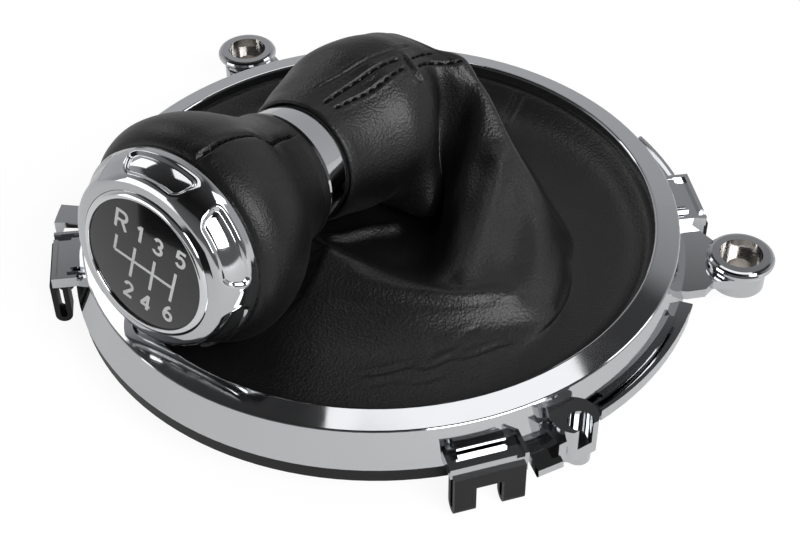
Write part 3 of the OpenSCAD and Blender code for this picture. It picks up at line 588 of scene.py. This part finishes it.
def threadBits(line, normals, length, pitch, long, thick, proud):  # short capsules laid along a line
    points, faces = [], []
    sides, rings = threadShape["sides"], np.radians(threadShape["rings"])
    count = int(length / mm / pitch)
    for spot in np.linspace(0, len(line) - 1, count + 2)[1:-1].astype(int):
        run = unit(line[min(spot + 1, len(line) - 1)] - line[max(spot - 1, 0)])
        out = unit(normals[spot] - run * (normals[spot] @ run))
        side = np.cross(run, out)
        start, end = len(points), len(points) + (len(rings) - 1) * sides
        for t in rings:
            girth = thick * math.cos(t)
            middle = line[spot] + run * long / 2 * math.sin(t) * mm + out * proud * mm
            spokes = [side * math.cos(a) + out * math.sin(a) for a in ringAngles(sides)]
            points += [middle + spoke * girth * mm for spoke in spokes]
        faces += gridFaces(len(rings), sides, start)
        faces += [tuple(start + k for k in range(sides))[::-1], tuple(end + k for k in range(sides))]
    return points, faces


def stitchPiece(name, rowsOfStitches):
    points, faces = [], []
    for seam, pitch, long, thick in rowsOfStitches:
        laid = hidePlace(seams[seam]["path"], hide["stitchPoints"])
        more, moreFaces = threadBits(*laid, pitch, long, thick, threadShape["proud"])
        faces += [tuple(k + len(points) for k in face) for face in moreFaces]
        points += more
    return meshPiece(name, points, faces, thread)


sewn = {name: stitchPiece(name, rowsOfStitches) for name, rowsOfStitches in stitches.items()}

for piece in (gaiterSkin, gaiterLining):
    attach(piece, "bezel")
    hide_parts("gaiter")
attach(sewn["humpStitches"], "bezel")
for piece in (sleeveSkin, sleeveLining, sewn["sleeveStitches"]):
    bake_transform(piece)
    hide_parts("gaiter_sleeve")
print("gaiter and sleeve laid")


def onKnob(along, angle, radius):  # distance from the collar's foot, angle from the top to the right, radius
    side, up = np.sin(angle) * radius, np.cos(angle) * radius
    return knobFoot + (along[..., None] * headDir + side[..., None] * sideDir + up[..., None] * headUp) * mm


def turnedGrid(outline, around):  # an outline of (along, radius) turned about the knob's axis: three grids
    along, radius = (np.repeat(outline[:, k:k + 1], around, axis=1) for k in (0, 1))
    return along, np.broadcast_to(ringAngles(around), radius.shape), radius


def turnedPiece(name, outline, around, material, closed=True):
    outline = np.array(outline, float)
    points = onKnob(*turnedGrid(outline, around))
    faces = gridFaces(len(outline), around)
    if closed:
        last = (len(outline) - 1) * around
        faces += [(last + j, last + (j + 1) % around, (j + 1) % around, j) for j in range(around)]
    return meshPiece(name, points.reshape(-1, 3), faces, material)


def halfTurn(angle):  # the same angle between minus half a turn and half a turn
    return (angle + math.pi) % (2 * math.pi) - math.pi


cap = {
    "around": 860, "rows": 112, "rowShare": (0.12, 0.88), "bandMargin": 0.06,  # more rows over the windows
    "radius": 24.9, "ringRadius": 18.45, "ringGap": 0.55, "ringSunk": 0.2, "length": 57.0,
    "domeFoot": 8.8, "domeHeight": 8.4, "domeStart": 80, "domeRows": 40,
    "rear": 46.3, "rearRoll": [(1.4, 0), (0.6, 0.05), (0, 0.4)],  # forward of the rear, inwards
    "windows": 6, "firstWindow": 2.0, "windowHalfAngle": 21.0,  # degrees
    "windowBand": (0.30, 0.73),  # share of the way from the trim ring to the rear edge
    "windowCorner": 1.9, "windowTaper": 0.10, "windowDepth": 0.8, "windowEdge": 1.0,
    "rimHeight": 0.06, "rimWidth": 0.5,
}


def capProfile():  # from the trim ring over the dome to the rear edge: distance from the foot, radius
    inner = cap["ringRadius"] + cap["ringGap"]
    foot, wide = cap["length"] - cap["domeFoot"], cap["radius"] - inner
    line = [(cap["length"] - cap["ringSunk"], cap["ringRadius"])]
    line += [(foot + cap["domeHeight"] * math.sin(t), inner + wide * math.cos(t))
             for t in np.radians(np.linspace(cap["domeStart"], 0, cap["domeRows"]))]
    line += [(cap["rear"] + forward, cap["radius"] - inwards) for forward, inwards in cap["rearRoll"]]
    line = np.array(line)
    reach = pathReach(line)
    low, high = cap["windowBand"]
    even = np.interp(np.linspace(0, 1, cap["rows"]), [0, *cap["rowShare"], 1],
                     [0, low - cap["bandMargin"], high + cap["bandMargin"], 1]) * reach[-1]
    return alongPath(even, reach, line), even


def outsideWindow(across, down, halfWidth, halfHeight, corner):  # distance outside a round-cornered window
    dx, dy = np.abs(across) - (halfWidth - corner), np.abs(down) - (halfHeight - corner)
    outside = np.hypot(np.maximum(dx, 0), np.maximum(dy, 0))
    return outside + np.minimum(np.maximum(dx, dy), 0) - corner


def makeCap():
    profile, reach = capProfile()
    along, angle, radius = turnedGrid(profile, cap["around"])
    slope = np.gradient(profile, axis=0)
    outward = unit(np.column_stack([slope[:, 1], -slope[:, 0]]))  # along, radial
    low, high = cap["windowBand"]
    middle, halfHeight = reach[-1] * (low + high) / 2, reach[-1] * (high - low) / 2
    halfWidth = math.radians(cap["windowHalfAngle"]) * cap["radius"]
    down = reach[:, None] - middle
    taper = 1 + cap["windowTaper"] * down / halfHeight  # wider towards the rear
    dent = np.zeros_like(radius)
    for i in range(cap["windows"]):
        centre = math.radians(cap["firstWindow"] + i * 360 / cap["windows"])
        across = halfTurn(angle - centre) * cap["radius"] / taper
        far = outsideWindow(across, down, halfWidth, halfHeight, cap["windowCorner"])
        step = np.clip(0.5 - far / cap["windowEdge"], 0, 1)
        dent -= cap["windowDepth"] * step * step * (3 - 2 * step)
        dent += cap["rimHeight"] * np.exp(-((far - cap["windowEdge"]) / cap["rimWidth"]) ** 2)
    points = onKnob(along + dent * outward[:, :1], angle, radius + dent * outward[:, 1:])
    piece = meshPiece("knobCap", points.reshape(-1, 3), gridFaces(cap["rows"], cap["around"]), chrome)
    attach(piece, "knob")
    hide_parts("knob_cap")


trimRing = {
    "around": 256, "back": 55.4, "inner": 16.62, "outer": 18.42, "steps": 4,
    "outline": [(57.35, 16.62), (57.55, 16.7), (57.62, 16.9), (57.58, 17.2), (57.4, 17.7), (57.1, 18.15),
                (56.75, 18.38), (56.4, 18.42)],
}
dial = {"around": 192, "rows": 40, "radius": 16.6, "centre": 0.02, "edge": 57.1, "dome": 0.8, "back": 55.8}


def makeTrimRing():
    outline = [(trimRing["back"], trimRing["inner"]), *smoothLine(trimRing["outline"], trimRing["steps"]),
               (trimRing["back"], trimRing["outer"])]
    # the trim ring takes the lighter chrome copy, whose painted brightness stands in for its brighter
    # reflections
    piece = turnedPiece("trimRing", outline, trimRing["around"], chromePaintedBright)
    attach(piece, "knob")
    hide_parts("dial_ring")


def dialHeight(radius):  # the dial is slightly domed
    return dial["edge"] + dial["dome"] * (1 - (radius / dial["radius"]) ** 2)


def makeDial():
    reach = np.linspace(dial["radius"], dial["centre"], dial["rows"])
    outline = [(dial["back"], dial["radius"]), *zip(dialHeight(reach), reach)]
    piece = turnedPiece("dialGloss", outline, dial["around"], dialGloss, closed=False)
    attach(piece, "knob")
    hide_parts("dial_disc")


grip = {
    "around": 480, "steps": 14, "mouth": 9.5, "rear": 46.3,
    "outline": [(9.6, 16.9), (9.55, 17.05), (9.75, 17.3), (10.5, 17.5), (13.5, 18.2), (18.5, 20.2),
                (23.5, 22.9), (29, 25.8), (34.5, 27.7), (39.5, 28.4), (43, 27.7), (45.2, 26.4),
                (46.2, 25.1), (46.4, 24.0)],  # along, radius
    "seam": [(9, 23.0), (14.2, 23.5), (18.1, 23.6), (22, 25.6), (24.6, 26.2), (27.1, 22.8), (29.2, 19.3),
             (31.3, 18.3), (36.2, 17.0), (42.8, 15.8), (45.9, 14.0)],  # along, degrees from the top
    "seamDepth": 0.8, "seamWidth": 0.5, "puff": 0.3, "puffAway": 1.6, "puffWidth": 1.9,
    "dents": [((24.6, 27), 3.0, 0.6), ((21, 70), 16.0, 0.5), ((20, 110), 16.0, 0.7),
              ((15, -40), 9.0, 0.3)],  # along and degrees, width, depth
    "dentLong": 0.6,  # a dent's width along the grip, for one round it
    "mouthPlain": 0.5, "mouthFade": 2.5, "rearFade": 1.5,
    "stitchPitch": 2.3, "stitchLong": 1.7, "stitchThick": 0.40, "stitchEnds": (2, 0.8), "stitchPoints": 300,
    "stitchBed": 0.1, "stitchProud": 0.25,
    "shell": {"around": 128, "rows": 40, "under": 1.3, "inner": 14.9, "start": 15.2, "end": 44.3},
}


def gripSeamAngle(along):
    seamAt, degrees = np.array(grip["seam"]).T
    return np.radians(np.interp(along, seamAt, degrees))


def makeGripLeather(profile):
    along, angle, radius = turnedGrid(profile, grip["around"])
    across = halfTurn(angle - gripSeamAngle(along)) * radius
    bend = grip["puff"] * np.exp(-((np.abs(across) - grip["puffAway"]) / grip["puffWidth"]) ** 2)
    bend -= (grip["seamDepth"] + grip["puff"]) * np.exp(-((across / grip["seamWidth"]) ** 2))
    for (where, degrees), width, depth in grip["dents"]:
        off = halfTurn(angle - math.radians(degrees)) * radius
        bend -= depth * np.exp(-((off / width) ** 2) - ((along - where) / (width * grip["dentLong"])) ** 2)
    fade = np.clip((along - grip["mouth"] - grip["mouthPlain"]) / grip["mouthFade"], 0, 1)
    fade = fade * np.clip((grip["rear"] - along) / grip["rearFade"], 0, 1)
    points = onKnob(along, angle, radius + bend * fade).reshape(-1, 3)
    piece = meshPiece("gripLeather", points, gridFaces(len(profile), grip["around"]), gripHide)
    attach(piece, "knob")
    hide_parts("grip_leather")


def makeGripStitches(profile):
    first, last = grip["stitchEnds"]
    along = np.linspace(grip["mouth"] + first, grip["rear"] - last, grip["stitchPoints"])
    turn = gripSeamAngle(along)
    bed = np.interp(along, profile[:, 0], profile[:, 1]) - grip["seamDepth"] + grip["stitchBed"]
    line = onKnob(along, turn, bed + grip["stitchProud"])
    outward = onKnob(along, turn, bed + (grip["stitchProud"] + 1)) - line
    bits = threadBits(line, unit(outward), pathReach(line)[-1], grip["stitchPitch"], grip["stitchLong"],
                      grip["stitchThick"], 0.0)
    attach(meshPiece("gripStitches", *bits, thread), "knob")


def makeGripShell(profile):  # slimmer than the CAD's, so that it stays under the drawn leather
    shell = grip["shell"]
    along = np.linspace(shell["start"], shell["end"], shell["rows"])
    outer = np.interp(along, profile[:, 0], profile[:, 1]) - shell["under"]
    outline = [(shell["start"], shell["inner"]), *zip(along, outer), (shell["end"], shell["inner"])]
    piece = turnedPiece("gripShell", outline, shell["around"], greyPlastic)
    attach(piece, "knob")
    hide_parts("grip_shell")


dialMarks = {  # places on the dial's face, to the right and up from its centre, in mm
    "face": 57.0, "sight": 0.94,  # placed on a flat face, and shifted aside where the dome lifts them
    "proud": 0.05, "sunk": 0.05, "stroke": 0.8, "letterStroke": 0.85, "step": 0.5, "turn": -12.0,
    "lines": [[(-8.05, 4.75), (-9.05, 0.51), (7.95, -2.76)], [(-2.61, 3.36), (-4.68, -5.39)],
              [(3.12, 2.19), (1.15, -6.56)], [(9.32, 1.65), (7.21, -6.92)]],
    "letters": {"R": ((-6.35, 9.39), 5.3), "1": ((-0.95, 7.84), 4.6), "3": ((4.34, 6.67), 4.6),
                "5": ((10.88, 6.11), 4.6), "2": ((-5.4, -9.33), 4.5), "4": ((-0.16, -10.57), 4.5),
                "6": ((6.53, -10.65), 4.5)},  # centre, height
}


def arc(cx, cy, rx, ry, start, end, count=14):
    t = np.radians(np.linspace(start, end, count))
    return [(cx + rx * math.cos(a), cy + ry * math.sin(a)) for a in t]


letterStrokes = {  # in a box one high, centred on (0, 0)
    "R": [[(-0.29, -0.5), (-0.29, 0.5)],
          [(-0.29, 0.44), (0.05, 0.44)] + arc(0.05, 0.205, 0.22, 0.235, 90, -90) + [(-0.29, -0.03)],
          [(0.02, -0.03), (0.30, -0.5)]],
    "1": [[(0.05, -0.5), (0.05, 0.5)], [(0.05, 0.44), (-0.17, 0.25)]],
    "2": [arc(0, 0.2, 0.24, 0.24, 170, -25) + [(-0.25, -0.43)], [(-0.29, -0.44), (0.27, -0.44)]],
    "3": [arc(-0.01, 0.22, 0.22, 0.22, 165, -90), arc(-0.01, -0.22, 0.25, 0.22, 90, -165)],
    "4": [[(0.12, -0.5), (0.12, 0.5)], [(0.12, 0.46), (-0.27, -0.2)], [(-0.31, -0.22), (0.30, -0.22)]],
    "5": [[(0.25, 0.44), (-0.2, 0.44)], [(-0.19, 0.47), (-0.23, -0.02)],
          arc(-0.01, -0.16, 0.25, 0.28, 140, -150)],
    "6": [arc(0, -0.2, 0.24, 0.24, 0, 360, 24), arc(0.25, -0.18, 0.49, 0.66, 178, 108)],
}


def ribbon(points, width):  # a flat stroke in short steps: its left and right edges
    corners = np.array(points, float)
    reach = pathReach(corners)
    even = np.union1d(np.linspace(0, reach[-1], int(reach[-1] / dialMarks["step"]) + 2), reach)
    p = alongPath(even, reach, corners)
    run = unit(np.gradient(p, axis=0))
    across = np.column_stack([-run[:, 1], run[:, 0]]) * width / 2
    return p + across, p - across


def makeDialMarks():
    d = dialMarks
    strokes = [(line, d["stroke"]) for line in (d["lines"][0][:2], d["lines"][0][1:], *d["lines"][1:])]
    turn = math.radians(d["turn"])
    spin = np.array([[math.cos(turn), math.sin(turn)], [-math.sin(turn), math.cos(turn)]])
    for letter, (centre, size) in d["letters"].items():
        for stroke in letterStrokes[letter]:
            strokes.append((np.array(stroke) * size @ spin + np.array(centre), d["letterStroke"]))
    points, faces = [], []
    for line, width in strokes:
        left, right = ribbon(line, width)
        start, count = len(points), len(left)
        for lift in (d["proud"], -d["sunk"]):
            for edge in (left, right):
                high = dialHeight(np.hypot(*edge.T))[:, None] + lift
                edge = edge + (high - d["face"]) * d["sight"]
                offset = high * headDir + edge[:, :1] * sideDir + edge[:, 1:] * headUp
                points += list(knobFoot + offset * mm)
        rows = [start + k * count for k in range(4)]  # top left, top right, low left, low right
        for i in range(count - 1):
            faces.append((rows[0] + i, rows[1] + i, rows[1] + i + 1, rows[0] + i + 1))
            faces.append((rows[0] + i + 1, rows[2] + i + 1, rows[2] + i, rows[0] + i))
            faces.append((rows[1] + i, rows[3] + i, rows[3] + i + 1, rows[1] + i + 1))
        for i in (0, count - 1):
            faces.append((rows[0] + i, rows[2] + i, rows[3] + i, rows[1] + i))
    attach(meshPiece("dialMarks", points, faces, dialPrint, smooth=False), "knob")


makeCap()
makeTrimRing()
makeDial()
gripProfile = smoothLine(grip["outline"], grip["steps"])
makeGripLeather(gripProfile)
makeGripStitches(gripProfile)
makeGripShell(gripProfile)
makeDialMarks()
print("knob dressed")

studio = {
    "floor": 3.0, "floorGap": 0.0002, "floorColour": (0.80, 0.80, 0.80), "floorRoughness": 0.85,
    "floorWhite": 1.15, "cameraGlow": 0.8, "mirrorGlow": 0.3,
    "cameraPlace": (0.004729, -0.300902, 0.262163), "cameraDown": 41.61, "cameraRoll": -0.726,
    "lens": 67.5, "sensor": 36, "clip": (0.01, 20),
    # the sine of the height, and the grey of the sky there
    "sky": [(0.0, 0.54), (0.45, 0.46), (0.56, 0.38), (0.63, 0.33), (0.69, 0.06), (1.0, 0.03)],
    "skyTint": 1.02, "frontSky": 0.25, "frontEdges": (-0.35, 0.25),  # darker behind the camera
    "card": ((-0.170, -0.080), (-0.115, -0.150)), "cardHeight": 0.035,
    "cardLook": {"colour": (0.002,) * 3, "paleColour": (0.003,) * 3, "roughness": 0.9, "gritScale": 900.0,
                 "grit": 0.1},
}


def makeFloor():  # white to the camera, dimmer in mirrors, grey where the light bounces
    low = cadBox[0].z - studio["floorGap"]
    half = studio["floor"] / 2
    material, tree, shader = newMaterial("paleFloor", studio["floorColour"], studio["floorRoughness"])
    glow = tree.nodes.new("ShaderNodeEmission")
    glow.inputs["Color"].default_value = (1, 1, 1, 1)
    glow.inputs["Strength"].default_value = studio["floorWhite"]
    rays = tree.nodes.new("ShaderNodeLightPath").outputs
    mirrored = mathNode(tree, "MAXIMUM", rays["Is Glossy Ray"], rays["Is Transmission Ray"])
    mirrorShare = mathNode(tree, "MULTIPLY", mirrored, studio["mirrorGlow"])
    share = mathNode(tree, "MULTIPLY_ADD", rays["Is Camera Ray"], studio["cameraGlow"], mirrorShare)
    mix = tree.nodes.new("ShaderNodeMixShader")
    tree.links.new(share, mix.inputs[0])
    tree.links.new(shader.outputs[0], mix.inputs[1])
    tree.links.new(glow.outputs[0], mix.inputs[2])
    tree.links.new(mix.outputs[0], tree.nodes["Material Output"].inputs["Surface"])
    corners = [(-half, -half, low), (half, -half, low), (half, half, low), (-half, half, low)]
    meshPiece("floor", corners, [(0, 1, 2, 3)], material, smooth=False)


def makeCard():  # a black card in front of the dial, seen only in its gloss
    low, high = cadBox[0].z, cadBox[0].z + studio["cardHeight"]
    (x0, y0), (x1, y1) = studio["card"]
    material = plasticFinish("blackCard", studio["cardLook"])
    corners = [(x0, y0, low), (x1, y1, low), (x1, y1, high), (x0, y0, high)]
    card = meshPiece("blackCard", corners, [(0, 1, 2, 3)], material, smooth=False)
    card.visible_camera = False
    card.visible_shadow = False


def makeWorld():
    world = bpy.data.worlds.new("studioSky")
    world.use_nodes = True
    bpy.context.scene.world = world
    tree = world.node_tree
    sky = tree.nodes["Background"]
    coords = tree.nodes.new("ShaderNodeTexCoord")
    split = tree.nodes.new("ShaderNodeSeparateXYZ")
    tree.links.new(coords.outputs["Generated"], split.inputs[0])
    ramp = tree.nodes.new("ShaderNodeValToRGB")
    tree.links.new(split.outputs["Z"], ramp.inputs["Fac"])
    front = mapRange(tree, split.outputs["Y"], studio["frontSky"], 1.0, *studio["frontEdges"])
    bands = ramp.color_ramp.elements
    while len(bands) < len(studio["sky"]):
        bands.new(0.5)
    for band, (height, grey) in zip(bands, studio["sky"]):
        band.position, band.color = height, (grey, grey, grey * studio["skyTint"], 1)
    tree.links.new(ramp.outputs["Color"], sky.inputs["Color"])
    tree.links.new(front, sky.inputs["Strength"])
    white = tree.nodes.new("ShaderNodeBackground")
    rays = tree.nodes.new("ShaderNodeLightPath")
    mix = tree.nodes.new("ShaderNodeMixShader")
    tree.links.new(rays.outputs["Is Camera Ray"], mix.inputs[0])
    tree.links.new(sky.outputs[0], mix.inputs[1])
    tree.links.new(white.outputs[0], mix.inputs[2])
    tree.links.new(mix.outputs[0], tree.nodes["World Output"].inputs["Surface"])


softBoxes = {  # place, point looked at, size, power
    "topBox": ((0.12, 0.28, 0.75), (0.12, 0.28, 0.0), (0.44, 0.30), 0.58),
    "frontBox": ((0.46, -0.66, 0.56), (0.02, 0, 0.03), (0.62, 0.55), 6.8),
    "rightBox": ((0.74, 0.20, 0.70), (0.02, 0, 0.03), (0.35, 0.30), 0.85),
    "rearBox": ((-0.54, 0.56, 0.62), (-0.02, 0.02, 0.03), (0.35, 0.35), 0.7),
    "leftBox": ((-1.0, -0.40, 0.14), (-0.06, -0.07, 0.05), (0.6, 0.30), 0.95),
}


def makeLights():
    for name, (where, target, size, power) in softBoxes.items():
        light = bpy.data.lights.new(name, "AREA")
        light.shape = "RECTANGLE"
        light.size, light.size_y = size
        light.energy = power
        lamp = bpy.data.objects.new(name, light)
        lamp.location = where
        lamp.rotation_mode = "QUATERNION"
        lamp.rotation_quaternion = (Vector(target) - Vector(where)).to_track_quat("-Z", "Y")
        bpy.context.scene.collection.objects.link(lamp)


def makeCamera():
    lens = bpy.data.cameras.new("photoCamera")
    lens.lens = studio["lens"]
    lens.sensor_width = studio["sensor"]
    lens.clip_start, lens.clip_end = studio["clip"]
    camera = bpy.data.objects.new("photoCamera", lens)
    down = Matrix.Rotation(math.radians(90 - studio["cameraDown"]), 4, "X")
    roll = Matrix.Rotation(math.radians(studio["cameraRoll"]), 4, "Z")
    camera.matrix_world = Matrix.Translation(studio["cameraPlace"]) @ (down @ roll)
    bpy.context.scene.collection.objects.link(camera)
    bpy.context.scene.camera = camera


makeFloor()
makeCard()
makeWorld()
makeLights()
makeCamera()
bpy.context.scene.view_settings.view_transform = "Standard"
bpy.context.view_layer.update()
print("stage set")
